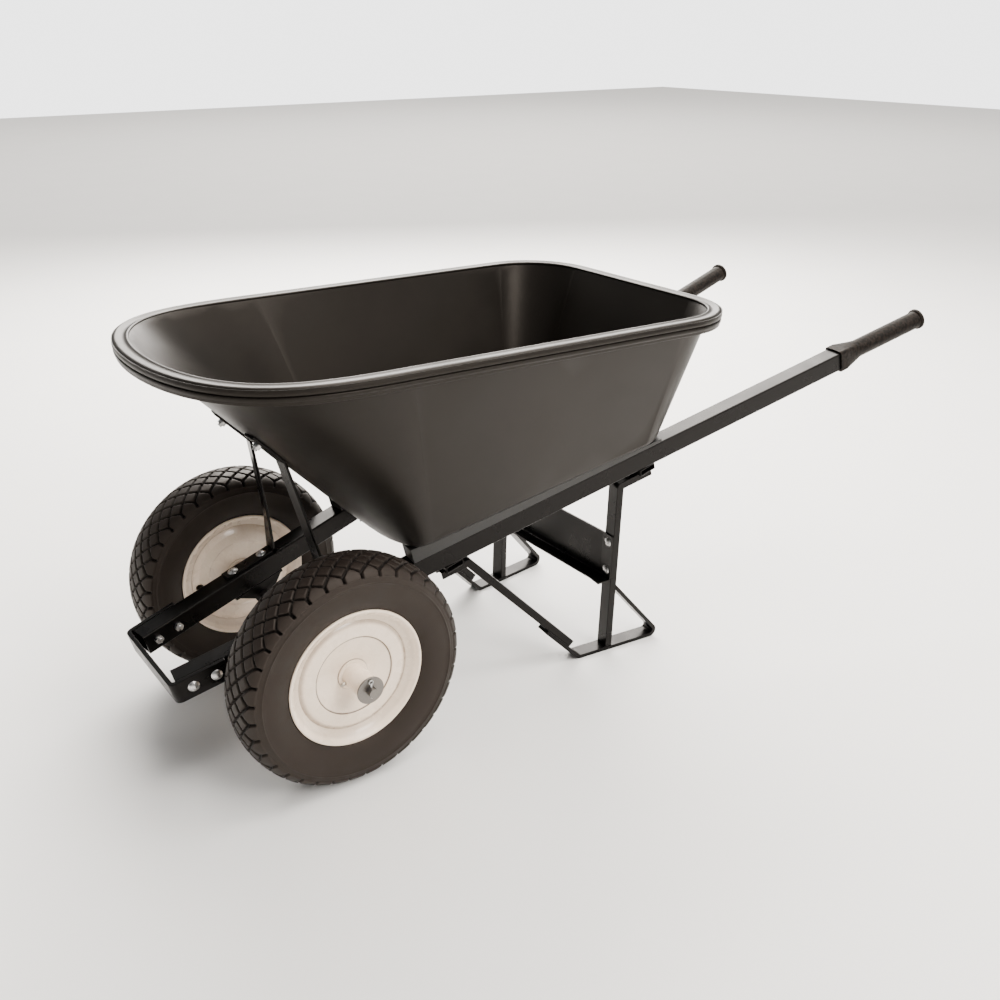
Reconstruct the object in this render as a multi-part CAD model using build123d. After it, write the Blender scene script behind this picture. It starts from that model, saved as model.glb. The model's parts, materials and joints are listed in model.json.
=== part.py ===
from build123d import *
from math import atan, cos, degrees, radians, sin, tan
import os

# Two-wheel wheelbarrow: moulded tray on a bolted steel frame, flat-free wheels on a fixed axle.
# The axle runs along X, the nose points to -Y, the handles to +Y, and the floor is Z = 0.
# Everything is modelled with the axle over Y = 0, and shifted along Y when it is written,
# so that the middle of the footprint is the origin.

# ---- rails (square tube, one piece from nose to grip) ----
rail_size = 38.0            # outside, both ways
rail_wall = 2.5
rail_rise = 13.8            # degrees, upwards to the rear
rail_toe = 7.2              # degrees, outwards to the rear
rail_nose_x = 81.0          # centre line at the front end
rail_nose_y = -238.0
rail_under_z = 170.0        # underside of the rail below its front end
rail_length = 1446.0        # square part that shows, up to the grip
rail_corner_r = 3.0
rail_inner_r = 1.1          # corners of the bore

# ---- wheels ----
tyre_r = 203.0
tyre_width = 102.0
tyre_widest_r = 167.0
tyre_lip_h = 1.5            # over the rim's flange
tyre_low_mid = (2.0, 146.0)     # side wall below its widest: in from it, radius
tyre_high_mid = (5.5, 14.0)     # side wall above its widest: in from it, below the crown
tyre_shoulder = (19.0, 4.5)     # in from the widest, below the crown
track = 444.0               # between the wheels' middle planes
bead_r = 101.5
flange_r = 122.5
rim_half_w = 40.5
rim_sheet = 2.5
rim_seat_curve = ((-5.0, 0.0), (-1.0, 4.5), (0.0, 12.0))   # from the flange's inner face, above the bead
rim_back_curve = ((0.0, 12.0), (-1.2, 3.5), (-6.0, -rim_sheet))   # from the flange's outer face
disc_sheet = 2.5
disc_profile = ((20.0, 20.5), (28.0, 65.0), (31.0, 69.0), (30.5, 87.0), (25.0, 98.9))  # offset, radius
disc_bend_r = 3.0
hub_r = 20.5
hub_half_l = 78.0
hub_collar_r = 26.5
hub_collar_t = 3.0
hub_collar_offset = 21.3    # just outside the disc
bush_r = 14.0
bush_l = 26.0
bush_flange_r = 18.0
bush_flange_t = 1.5
nipple_r = 3.4
nipple_h = 8.0
nipple_turn = 100.0         # degrees, from straight up towards the nose
nipple_offset = 34.0
valve_hole_r = 7.0
valve_hole_y = -86.0        # from the wheel's centre
valve_hole_z = -5.0

# ---- axle ----
axle_r = 8.0
axle_running_gap = 0.06
axle_stub = 11.0            # past the outer washer
washer_r = 24.0
washer_t = 3.0
pin_r = 1.6
pin_wire_r = 1.1
pin_eye_r = 3.4
pin_reach = 13.0            # past the axle's centre, both ways
side_gap = 0.5              # between a turning face and a fixed one
spacer_r = 12.0

# ---- tray ----
tray_wall = 5.0
rim_z = 712.0               # rim plane over the axle
rim_fall = 1.15             # degrees, downwards to the rear
rim_front_y = -216.0
rim_nose_l = 334.0          # from the tip to where the sides begin
rim_front_half_w = 296.0
rim_rear_half_w = 312.0
rim_rear_y = 830.0
rim_corner_r = 140.0
rim_nose_fullness = 0.775   # 0.707 is an ellipse, 1 is a rectangle
floor_front_y = 165.0
floor_nose_l = 45.0
floor_front_half_w = 172.0
floor_rear_half_w = 229.0
floor_rear_y = 720.0
floor_corner_r = 60.0
floor_nose_fullness = 0.79
floor_edge_r = 16.0
rim_overhang = 21.0         # from the wall to the outermost bead
rim_depth = 24.0
rim_bead_h = 9.0
rim_groove_h = 3.0
rim_groove_depth = 4.0
rim_band_in = 1.0
rim_step_in = 3.0
rim_lip_h = 6.0

# ---- risers between rails and tray ----
riser_start = 441.0         # along the rail
riser_end = 985.0
riser_front_h = 29.0
riser_rear_h = 6.0

# ---- under-rail parts ----
strap_front_s = 511.0       # stations along the rail
strap_rear_s = 942.0
strap_w = 38.0
strap_h = 13.0
strap_wall = 2.5
channel_w = 30.0
channel_depth = 15.0
channel_wall = 3.0

# ---- legs, in the side plane of each leg (forward/rear from the leg's station, height) ----
leg_station_y = 630.0
leg_inset = 5.0             # leg's middle plane inside the rail's
post_front_top = -14.0
post_front_foot = -26.0
post_tab_rear = 62.0
flat_w = 32.0
flat_t = 8.0
foot_front = -93.0
foot_rear = 117.0
foot_bend_r = 15.0
foot_front_arm = 112.0
foot_rear_rise = 50.0       # degrees
brace_fall = 46.5           # degrees
brace_tab_front = -394.0
brace_end_z = 45.0
channel_bend_r = 12.0

# ---- cross plate between the legs ----
plate_t = 3.0
plate_top_z = 256.0
plate_fold_z = 160.0
plate_lip = 30.0
plate_flap = 34.0
plate_lip_r = 6.0
plate_bolt_z = (179.0, 240.0)

# ---- nose bar ----
nose_t = 8.0
nose_h = 40.0
nose_bend_r = 13.0
nose_leg_l = 84.0
nose_gap = 7.0              # between the rails' front ends and the bar
nose_bolt_s = (23.0, 63.0)

# ---- tray braces ----
brace_w = 25.0
brace_t = 5.0
brace_foot_start = 182.0    # station along the rail
brace_root_s = 282.0        # station where the upright leaves the rail
brace_knee = (98.0, 22.0, 355.0)
brace_seat_x = 68.0         # where the tab's bolt crosses the tray's front wall
brace_seat_z = 566.0
brace_tab_up = 24.0         # from the bolt, along the wall
brace_tab_down = 56.0
brace_tab_gap = 0.3         # between the flat tab and the curved wall
bracket_bolt_s = (200.0, 263.0)

# ---- axle brackets ----
bracket_l = 104.0
bracket_t = 5.0
bracket_eye_r = 21.0

# ---- grips ----
grip_length = 242.0
grip_collar = 46.0
grip_collar_l = 16.0
grip_collar_corner_r = 6.0
grip_taper_l = 46.0
grip_r = 18.5
grip_end_r = 22.0
grip_end_l = 9.0
grip_end_edge_r = 3.6
stub_r = 14.0
stub_start = 30.0
stub_taper = 20.0
grip_fit = 0.15

# ---- fasteners ----
bolt_r = 4.0
bolt_gap = 0.25
bolt_head_r = 10.0
bolt_head_h = 4.5
nut_af = 14.0
nut_h = 6.5
nut_chamfer = 0.4            # taken off the nut's points
thread_gap = 0.02           # between a nut's bore and its bolt
bolt_past_nut = 4.0
deck_bolt_past_nut = 10.0

# ---- allowances ----
trim_allowance = 0.5        # left on a part before it is trimmed to another face
seat_gap = 0.5              # under a round head on a sloping face
weld_overlap = 1.0          # between two shapes that become one piece
cut_margin = 1.0            # a cutter's reach past what it cuts
min_bend_r = 1.0            # inside of a bend
same_place = 0.01           # points closer than this are one

# ---- values that follow from the ones above ----
rail_dir = Vector(sin(radians(rail_toe)) * cos(radians(rail_rise)),
                  cos(radians(rail_toe)) * cos(radians(rail_rise)),
                  sin(radians(rail_rise)))
frame_up = Vector(0, -rail_dir.Z, rail_dir.Y).normalized()
rail_out = rail_dir.cross(frame_up).normalized()
rail_half = rail_size / 2
rail_nose = Vector(rail_nose_x, rail_nose_y, rail_under_z + rail_half)
bolt_hole_r = bolt_r + bolt_gap
leg_u = Vector(sin(radians(rail_toe)), cos(radians(rail_toe)), 0)
leg_out = Vector(cos(radians(rail_toe)), -sin(radians(rail_toe)), 0)


def rail_point(s, out=0.0, up=0.0):
    """Point at station s of the right rail, moved outwards and up from its centre line."""
    return rail_nose + rail_dir * s + rail_out * out + frame_up * up


def rail_section(s):
    """Plane across the right rail at station s: X outwards, Y up, extruding towards the nose."""
    return Plane(origin=rail_point(s), x_dir=rail_out, z_dir=rail_dir * -1)


def rail_side(out=0.0):
    """Plane along the right rail: X along the rail, Y up, extruding outwards."""
    return Plane(origin=rail_point(0, out=out), x_dir=rail_dir, z_dir=rail_out)


def frame_plane(origin):
    """Plane through both rails: X across the barrow, Y to the rear, Z square to the rails."""
    return Plane(origin=origin, x_dir=(1, 0, 0), z_dir=frame_up)


def station_at_y(y):
    return (y - rail_nose_y) / rail_dir.Y


leg_origin = Vector(rail_point(station_at_y(leg_station_y), out=-leg_inset).X, leg_station_y, 0)


def leg_side(out=0.0):
    """Upright plane of the right leg: X to the rear, Y up, extruding outwards."""
    return Plane(origin=leg_origin + leg_out * out, x_dir=leg_u, z_dir=leg_out)


def leg_height(u, up):
    """Height of a plane parallel to the frame, at u to the rear in the leg's plane."""
    middle = rail_point(station_at_y(leg_station_y), out=-leg_inset, up=up)
    here = leg_origin + leg_u * u
    return middle.Z + (here.Y - middle.Y) * rail_dir.Z / rail_dir.Y


def strip(points, depth, bend_r):
    """Face of a bent strip. The points follow its outer side, depth is to the left of them."""
    pts = [Vector(*p) for p in points]
    runs = [(b - a).normalized() for a, b in zip(pts, pts[1:])]
    left = [Vector(-d.Y, d.X) for d in runs]
    inner = [pts[0] + left[0] * depth]
    for n0, n1, p in zip(left, left[1:], pts[1:]):
        inner.append(p + (n0 + n1) * (depth / (1 + n0.dot(n1))))
    inner.append(pts[-1] + left[-1] * depth)
    face = make_face(Polyline(*pts, *reversed(inner), close=True))
    corners = pts[1:-1] + inner[1:-1]
    radii = [bend_r] * (len(pts) - 2) + [max(bend_r - abs(depth), min_bend_r)] * (len(pts) - 2)
    for corner, r in zip(corners, radii):
        vertex = min(face.vertices(), key=lambda v: (Vector(v) - corner).length)
        face = fillet(vertex, r)
    return face


def slab(plane, face, thickness):
    """The face laid on the plane and thickened along the plane's normal."""
    return extrude(plane * face, thickness, dir=plane.z_dir)


def bent_channel(points, plane_at):
    """Channel bent along the points: web on the outer side, flanges on the inner side."""
    body = slab(plane_at(-channel_w / 2), strip(points, channel_depth, channel_bend_r), channel_w)
    inset = channel_w / 2 - channel_wall
    hollow = slab(plane_at(-inset), strip(points, channel_depth + 2 * channel_wall, channel_bend_r), 2 * inset)
    web = slab(plane_at(-inset), strip(points, channel_wall, channel_bend_r), 2 * inset)
    return body - (hollow - web)


def bolt_axis(centre, axis):
    return Plane(origin=centre, z_dir=axis)


def rod(plane, radius, start, end):
    """Cylinder along the plane's normal, from start to end."""
    return plane * Pos(0, 0, (start + end) / 2) * Cylinder(radius, end - start)


def carriage_bolt(plane, length):
    """Round head above the plane, shank of the given length below it."""
    dome_r = (bolt_head_r ** 2 + bolt_head_h ** 2) / (2 * bolt_head_h)
    ball = Pos(0, 0, bolt_head_h - dome_r) * Sphere(dome_r)
    head = ball & Pos(0, 0, bolt_head_h / 2) * Cylinder(2 * bolt_head_r, bolt_head_h)
    return plane * (head + Pos(0, 0, -length / 2) * Cylinder(bolt_r, length))


def nut(plane, top):
    """Hex nut below the plane, its upper face at the given depth."""
    blank = extrude(RegularPolygon(nut_af / 2, 6, major_radius=False), nut_h)
    blank = Pos(0, 0, -top - nut_h) * blank
    bore = Pos(0, 0, -top - nut_h / 2) * Cylinder(bolt_r + thread_gap, nut_h)
    point_r = nut_af / 2 / cos(radians(30))
    turned = Pos(0, 0, -top - nut_h / 2) * Cylinder(point_r - nut_chamfer, nut_h)
    return plane * ((blank & turned) - bore)


def pair(shape):
    """The piece of the right side and its mirror image."""
    return [shape, mirror(shape, about=Plane.YZ)]


# ---- tray ----
def tray_outline(plane_slope, front_y, nose_l, front_w, rear_w, rear_y, corner_r, fullness, inset):
    """Plan outline of the tray, straight sides, round rear corners and a rounded nose."""
    stretch = 1 / cos(radians(plane_slope))
    y_nose = (front_y + inset) * stretch
    y_side = (front_y + nose_l) * stretch
    y_rear = (rear_y - inset) * stretch
    w_front = front_w - inset
    w_rear = rear_w - inset
    shoulder = (w_front * fullness, y_side - (y_side - y_nose) * fullness)
    nose_right = Spline((w_front, y_side), shoulder, (0, y_nose), tangents=[(0, -1), (-1, 0)])
    nose_left = Spline((0, y_nose), (-shoulder[0], shoulder[1]), (-w_front, y_side),
                       tangents=[(-1, 0), (0, 1)])
    side_left = Line((-w_front, y_side), (-w_rear, y_rear))
    rear = Line((-w_rear, y_rear), (w_rear, y_rear))
    side_right = Line((w_rear, y_rear), (w_front, y_side))
    face = make_face([nose_right, nose_left, side_left, rear, side_right])
    corners = face.vertices().filter_by(lambda v: v.Y > y_rear - same_place)
    return fillet(corners, corner_r - inset)


rim_up = Vector(0, sin(radians(rim_fall)), cos(radians(rim_fall)))


def rim_face(inset, drop):
    """Outline of the rim, moved in by inset, on a plane below the rim's top."""
    plane = Plane(origin=(0, 0, rim_z), x_dir=(1, 0, 0), z_dir=rim_up)
    face = tray_outline(rim_fall, rim_front_y, rim_nose_l, rim_front_half_w, rim_rear_half_w, rim_rear_y,
                        rim_corner_r, rim_nose_fullness, inset)
    return plane.offset(-drop) * face


riser_front = rail_point(riser_start, up=rail_half + riser_front_h)
riser_rear = rail_point(riser_end, up=rail_half + riser_rear_h)
floor_rise = (riser_rear.Z - riser_front.Z) / (riser_rear.Y - riser_front.Y)
floor_z0 = riser_front.Z - floor_rise * riser_front.Y
floor_angle = degrees(atan(floor_rise))
floor_normal = Vector(0, -floor_rise, 1).normalized()


def floor_plane(lift=0.0):
    return Plane(origin=(0, 0, floor_z0), x_dir=(1, 0, 0), z_dir=floor_normal).offset(lift)


def floor_face(inset, lift):
    face = tray_outline(floor_angle, floor_front_y, floor_nose_l, floor_front_half_w, floor_rear_half_w,
                        floor_rear_y, floor_corner_r, floor_nose_fullness, inset)
    return floor_plane(lift) * face


def tub(inset, lift):
    """Solid of the tray's tub, shrunk by inset and with its floor lifted."""
    low = floor_face(inset, lift).faces()[0].outer_wire()
    high = rim_face(rim_overhang + inset, 0).faces()[0].outer_wire()
    body = Solid.make_loft([low, high], ruled=True)
    here = floor_plane(lift).origin
    low_edges = [e for e in body.edges() if abs((e.center() - here).dot(floor_normal)) < same_place]
    return fillet(low_edges, floor_edge_r)


def rim_ring(inset, inner_inset, start, height):
    """Ring of the rim, from start below the rim plane, its outside moved in by inset."""
    ring = rim_face(inset, start + height).faces()[0]
    solid = extrude(ring, height, dir=rim_up)
    hole = rim_face(inner_inset, start + height + cut_margin).faces()[0]
    core = extrude(hole, height + 2 * cut_margin, dir=rim_up)
    return solid - core


deck_bolts = [bolt_axis(rail_point(s, out=-leg_inset), frame_up) for s in (strap_front_s, strap_rear_s)]


def deck_seat(bolt):
    """Height of the tray's inner floor above the rail's centre line, at a deck bolt."""
    lift = (floor_plane(tray_wall).origin - bolt.origin).dot(floor_normal)
    return lift / frame_up.dot(floor_normal)


bracket_bolts = [bolt_axis(rail_point(s), frame_up) for s in bracket_bolt_s]

# the tray braces' bolts stand square on the tray's front wall
outer_tub = tub(0, 0)
inner_tub = tub(tray_wall, tray_wall)
tab_line = Axis((brace_seat_x, 0, brace_seat_z), (0, -1, 0))
tab_seat, tab_normal = outer_tub.find_intersection_points(tab_line)[-1]
tab_bolt = bolt_axis(tab_seat, tab_normal * -1)
wall_here = (inner_tub.find_intersection_points(Axis(tab_seat, tab_normal * -1))[0][0] - tab_seat).length


def make_tray():
    shell = outer_tub - inner_tub
    lip_start = rim_bead_h + rim_groove_h
    top = rim_ring(0, rim_overhang + tray_wall - weld_overlap, 0, tray_wall)
    bead = rim_ring(0, tray_wall, 0, rim_bead_h)
    groove = rim_ring(rim_groove_depth, rim_groove_depth + tray_wall, rim_bead_h, rim_groove_h)
    band = rim_ring(rim_band_in, rim_band_in + tray_wall, lip_start, rim_depth - lip_start - rim_lip_h)
    lip = rim_ring(rim_step_in, rim_step_in + tray_wall, rim_depth - rim_lip_h, rim_lip_h)
    tray = shell + top + bead + groove + band + lip
    for bolt in deck_bolts:
        for hole in pair(rod(bolt, bolt_hole_r, 0, 2 * rail_size + deck_seat(bolt))):
            tray -= hole
    for hole in pair(rod(tab_bolt, bolt_hole_r, -3 * tray_wall, 3 * tray_wall)):
        tray -= hole
    return tray


# ---- frame ----
def rail_outer(grow, s1):
    """Outside of the rail from the grip's front end, square, swaged round, then round."""
    start = rail_length + stub_start
    mid = start + stub_taper
    width = rail_size + 2 * grow
    square = rail_section(start) * RectangleRounded(width, width, rail_corner_r + grow)
    circle = rail_section(mid) * Circle(stub_r + grow)
    swage = loft([square, circle])
    front = extrude(square, start - rail_length + grip_collar)
    return front + swage + extrude(rail_section(s1) * Circle(stub_r + grow), s1 - mid)


def make_rail():
    start = rail_length + stub_start
    mid = start + stub_taper
    end = rail_length + grip_length - grip_end_l - rail_wall
    bore = rail_size - 2 * rail_wall
    outer = rail_section(start) * RectangleRounded(rail_size, rail_size, rail_corner_r)
    inner = rail_section(start) * RectangleRounded(bore, bore, rail_inner_r)
    tube = extrude(outer, start) - extrude(inner, start)
    swage = loft([outer, rail_section(mid) * Circle(stub_r)])
    swage -= loft([inner, rail_section(mid) * Circle(stub_r - rail_wall)])
    stub = extrude(rail_section(end) * (Circle(stub_r) - Circle(stub_r - rail_wall)), end - mid)
    rail = tube + swage + stub
    for bolt in deck_bolts + bracket_bolts:
        rail -= rod(bolt, bolt_hole_r, -rail_size, rail_size)
    for s in nose_bolt_s:
        rail -= rod(bolt_axis(rail_point(s), rail_out), bolt_hole_r, -rail_size, rail_size)
    return rail


def make_grip():
    end = rail_length + grip_length
    collar_end = rail_length + grip_collar_l
    round_start = collar_end + grip_taper_l
    collar_face = rail_section(collar_end) * RectangleRounded(grip_collar, grip_collar, grip_collar_corner_r)
    body = extrude(collar_face, grip_collar_l)
    body += loft([collar_face, rail_section(round_start) * Circle(grip_r)])
    body += extrude(rail_section(end) * Circle(grip_r), end - round_start)
    cap = extrude(rail_section(end) * Circle(grip_end_r), grip_end_l)
    body += fillet(cap.edges().filter_by(GeomType.CIRCLE), grip_end_edge_r)
    return body - rail_outer(grip_fit, end - grip_end_l)


def make_riser():
    high = rail_half + 2 * riser_front_h
    side = Polygon((riser_start, rail_half), (riser_end, rail_half), (riser_end, high), (riser_start, high),
                   align=None)
    block = slab(rail_side(-rail_half), side, rail_size)
    length = riser_end + rail_size
    block -= floor_plane(riser_front_h * 2) * Box(length * 2, length * 2, riser_front_h * 4)
    for bolt in deck_bolts:
        block -= rod(bolt, bolt_hole_r, 0, 4 * rail_size)
    return block


def make_cross_strap(s):
    half = rail_point(s, out=rail_half).X
    middle = rail_point(s, up=-rail_half - strap_h / 2)
    plane = frame_plane(Vector(0, middle.Y, middle.Z))
    bore = Box(2 * half, strap_w - 2 * strap_wall, strap_h - 2 * strap_wall)
    tube = plane * (Box(2 * half, strap_w, strap_h) - bore)
    for bolt in deck_bolts:
        for hole in pair(rod(bolt, bolt_hole_r, -2 * rail_size, 0)):
            tube -= hole
    return tube


under_strap = -rail_half - strap_h


def below_straps(shape):
    """Trim a leg piece to the underside of the cross straps."""
    reach = 2 * rail_length
    waste = Pos(0, reach / 2, rail_size / 2) * Box(reach, 2 * reach, rail_size)
    return shape - frame_plane(rail_point(0, up=under_strap)) * waste


def tab_point(u):
    return (u, leg_height(u, under_strap) + trim_allowance)


post_run = tab_point(post_front_top)[1] - flat_t
post_lean = (post_front_top - post_front_foot) / post_run


def post_front(z):
    """Front of the post, to the rear in the leg's plane, at a height."""
    return post_front_foot + (z - flat_t) * post_lean


def plate_bolt(z):
    """Frame of a cross plate bolt: on the plate's front, pointing forward."""
    normal = (leg_u * -1 + Vector(0, 0, post_lean)).normalized()
    return bolt_axis(leg_origin + leg_u * post_front(z) + Vector(0, 0, z) + normal * plate_t, normal)


post_line = [tab_point(post_tab_rear), tab_point(post_front_top), (post_front_foot, flat_t)]


def make_leg_post():
    post = bent_channel(post_line, leg_side)
    post = below_straps(post) - rod(deck_bolts[1], bolt_hole_r, -3 * rail_size, 0)
    for z in plate_bolt_z:
        post -= rod(plate_bolt(z), bolt_hole_r, -channel_depth, channel_depth)
    return post


brace_down = Vector(cos(radians(brace_fall)), -sin(radians(brace_fall)))
brace_in = Vector(brace_down.Y, -brace_down.X)


def brace_u(z):
    """Upper side of the leg brace's sloping part, to the rear in the leg's plane, at a height."""
    start = Vector(foot_front, 0) - brace_in * (channel_depth + flat_t)
    return start.X + (start.Y - z) / tan(radians(brace_fall))


def make_leg_brace():
    fall = tan(radians(brace_fall))
    rise = leg_height(1, 0) - leg_height(0, 0)
    corner = (fall * brace_u(0) - tab_point(0)[1]) / (fall + rise)
    points = [(brace_u(brace_end_z), brace_end_z), tab_point(corner), tab_point(brace_tab_front)]
    return below_straps(bent_channel(points, leg_side)) - rod(deck_bolts[0], bolt_hole_r, -3 * rail_size, 0)


def make_foot_loop():
    tip = Vector(foot_front, 0) - brace_down * foot_front_arm
    rise = tan(radians(foot_rear_rise))
    inside_post = post_front_foot + channel_depth / 2
    rear_u = (inside_post + post_lean * (foot_rear * rise - flat_t)) / (1 + post_lean * rise)
    rear_z = (foot_rear - rear_u) * rise
    side = strip([(tip.X, tip.Y), (foot_front, 0), (foot_rear, 0), (rear_u, rear_z)], flat_t, foot_bend_r)
    post = strip(post_line, channel_depth, channel_bend_r)
    return slab(leg_side(-flat_w / 2), side, flat_w) - slab(leg_side(-flat_w), post, 2 * flat_w)


def make_leg_cross_plate():
    fold = post_front(plate_fold_z)
    line = [(fold - plate_lip, plate_fold_z), (fold, plate_fold_z), (post_front(plate_top_z), plate_top_z)]
    side = strip(line, plate_t, plate_lip_r)
    inner_out = channel_w / 2 - plate_flap
    flap = slab(leg_side(inner_out), side, plate_flap)
    bend = leg_origin + leg_out * inner_out
    middle = Plane(origin=(-bend.X, bend.Y, 0), x_dir=(0, 1, 0), z_dir=(1, 0, 0))
    right, left = pair(flap)
    plate = slab(middle, side, 2 * bend.X) + right + left
    for z in plate_bolt_z:
        for hole in pair(rod(plate_bolt(z), bolt_hole_r, -channel_depth, channel_depth)):
            plate -= hole
    return plate


# ---- nose bar ----
def make_nose_bar():
    base = frame_plane(Vector(0, rail_nose.Y, rail_nose.Z))
    side = rail_half + nose_t
    rear = base.to_local_coords(rail_point(nose_leg_l, out=side))
    ahead = base.to_local_coords(rail_point(0, out=side))
    front_y = -nose_gap - nose_t
    corner_x = ahead.X + (front_y - ahead.Y) * (rear.X - ahead.X) / (rear.Y - ahead.Y)
    path = [(-rear.X, rear.Y), (-corner_x, front_y), (corner_x, front_y), (rear.X, rear.Y)]
    bar = slab(base.offset(-nose_h / 2), strip(path, nose_t, nose_bend_r), nose_h)
    for s in nose_bolt_s:
        for hole in pair(rod(bolt_axis(rail_point(s), rail_out), bolt_hole_r, 0, 2 * rail_size)):
            bar -= hole
    return bar


# ---- tray braces ----
def bar_outline(centre, across, facing):
    """Outline of the flat bar at a point of its centre line, its width along across."""
    half_w = across * (brace_w / 2)
    half_t = facing * (brace_t / 2)
    return Wire.make_polygon([centre - half_w - half_t, centre + half_w - half_t,
                              centre + half_w + half_t, centre - half_w + half_t])


def mitre(n0, n1):
    """Thickness direction at a bend between runs that face n0 and n1."""
    return (n0 + n1) / (1 + n0.dot(n1))


def make_tray_brace():
    foot_end = brace_root_s + brace_t
    foot_l = foot_end - brace_foot_start
    foot = rail_section(foot_end) * Pos(0, rail_half + brace_t / 2, foot_l / 2) * Box(brace_w, brace_t, foot_l)

    across = Vector(-tab_normal.Y, tab_normal.X, 0).normalized()
    down = tab_normal.cross(across).normalized()
    if down.Z > 0:
        down = down * -1
    on_wall = tab_seat + tab_normal * (brace_tab_gap + brace_t / 2)
    bend = on_wall + down * brace_tab_down
    knee = Vector(*brace_knee)
    root = rail_point(brace_root_s + brace_t / 2, up=rail_half)
    upper_face = across.cross(knee - bend).normalized()
    lower_face = across.cross(root - knee).normalized()
    if upper_face.dot(tab_normal) < 0:
        upper_face = upper_face * -1
        lower_face = lower_face * -1
    upright = Solid.make_loft([bar_outline(on_wall - down * brace_tab_up, across, tab_normal),
                               bar_outline(bend, across, mitre(tab_normal, upper_face)),
                               bar_outline(knee, across, mitre(upper_face, lower_face)),
                               bar_outline(root, rail_out, rail_dir * -1)], ruled=True)
    brace = foot + upright
    for bolt in bracket_bolts:
        brace -= rod(bolt, bolt_hole_r, 0, rail_size)
    return brace - rod(tab_bolt, bolt_hole_r, -3 * brace_t, 2 * brace_t)


# ---- axle and its brackets ----
axle_rail = rail_point(station_at_y(0))
axle_centre = Vector(axle_rail.X, 0, tyre_r)
axle_s = (axle_centre - rail_nose).dot(rail_dir)
axle_up = (axle_centre - rail_nose).dot(frame_up)
hub_end = track / 2 + hub_half_l
washer_end = hub_end + side_gap + washer_t
pin_x = washer_end + pin_r + side_gap


def x_rod(radius, start, end, y=0.0, z=tyre_r):
    return Pos((start + end) / 2, y, z) * Rot(0, 90, 0) * Cylinder(radius, end - start)


def make_axle_bracket():
    middle = sum(bracket_bolt_s) / 2
    top = -rail_half
    front = middle - bracket_l / 2
    rear = middle + bracket_l / 2
    plate = Polygon((front, top - bracket_t), (rear, top - bracket_t), (rear, top), (front, top), align=None)
    cheek = Polygon((axle_s - bracket_eye_r, axle_up), (axle_s + bracket_eye_r, axle_up),
                    (rear, top), (front, top), align=None)
    cheek += Pos(axle_s, axle_up) * Circle(bracket_eye_r)
    bracket = slab(rail_side(-rail_half), plate, rail_size)
    for out in (-rail_half, rail_half - bracket_t):
        bracket += slab(rail_side(out), cheek, bracket_t)
    for bolt in bracket_bolts:
        bracket -= rod(bolt, bolt_hole_r, -2 * rail_size, 0)
    return bracket - x_rod(axle_r + axle_running_gap, 0, track)


def make_axle():
    end = washer_end + axle_stub
    axle = x_rod(axle_r, -end, end)
    for x in (-pin_x, pin_x):
        axle -= Pos(x, 0, tyre_r) * Cylinder(pin_r + axle_running_gap, 3 * axle_r)
    return axle


def ring(outer_r, inner_r, start, end):
    return x_rod(outer_r, start, end) - x_rod(inner_r, start, end)


def make_spacer():
    bracket_side = axle_centre.X + rail_half / cos(radians(rail_toe))
    start = bracket_side + spacer_r * tan(radians(rail_toe)) + axle_running_gap
    return ring(spacer_r, axle_r + axle_running_gap, start, track / 2 - hub_half_l - side_gap)


def make_washer():
    return ring(washer_r, axle_r + axle_running_gap, hub_end + side_gap, washer_end)


def make_split_pin():
    pin = Pos(pin_x, 0, tyre_r) * Cylinder(pin_r, 2 * pin_reach)
    eye = Pos(pin_x, 0, tyre_r + pin_reach + pin_eye_r) * Rot(0, 90, 0) * Torus(pin_eye_r, pin_wire_r)
    return pin + eye


# ---- wheels, made about the wheel's own middle and moved to the axle ----
def spin(face):
    return Pos(track / 2, 0, tyre_r) * revolve(Plane.XZ * face, Axis.X)


def rim_seat():
    """Tyre side of the rim, from its middle to the top of its flange: offset, radius."""
    inner = rim_half_w - rim_sheet
    curve = [(inner + along, bead_r + up) for along, up in rim_seat_curve]
    return [(0, bead_r)] + curve + [(inner, flange_r)]


def rim_inside():
    """Open side of the rim, from the top of its flange to its middle."""
    curve = [(rim_half_w + along, bead_r + up) for along, up in rim_back_curve]
    return [(rim_half_w, flange_r)] + curve + [(0, bead_r - rim_sheet)]


def make_rim():
    seat = rim_seat()
    inside = rim_inside()
    half = seat[1:] + inside[:-1]
    outline = [seat[0]] + half + [inside[-1]] + [(-x, r) for x, r in reversed(half)]
    return spin(Polygon(*outline, align=None))


def make_tyre():
    half = tyre_width / 2
    seat = rim_seat()
    lip = (rim_half_w, flange_r + tyre_lip_h)
    low_mid = (half - tyre_low_mid[0], tyre_low_mid[1])
    widest = (half, tyre_widest_r)
    high_mid = (half - tyre_high_mid[0], tyre_r - tyre_high_mid[1])
    shoulder = (half - tyre_shoulder[0], tyre_r - tyre_shoulder[1])
    right = [Polyline(*seat, lip),
             ThreePointArc(lip, low_mid, widest),
             ThreePointArc(widest, high_mid, shoulder)]
    crown = ThreePointArc(shoulder, (0, tyre_r), (-shoulder[0], shoulder[1]))
    left = [mirror(edge, about=Plane.YZ) for edge in right]
    return spin(make_face([e for shape in right + [crown] + left for e in shape.edges()]))


def make_disc():
    return spin(strip(disc_profile, disc_sheet, disc_bend_r))


def make_hub():
    end = hub_half_l - bush_flange_t
    hub = ring(hub_r, bush_r, track / 2 - end, track / 2 + end)
    for start in (hub_collar_offset, -hub_collar_offset - hub_collar_t):
        hub += ring(hub_collar_r, hub_r - weld_overlap, track / 2 + start, track / 2 + start + hub_collar_t)
    return hub


def make_bush():
    end = track / 2 + hub_half_l
    body = ring(bush_r, axle_r + axle_running_gap, end - bush_l, end)
    return body + ring(bush_flange_r, axle_r + axle_running_gap, end - bush_flange_t, end)


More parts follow.
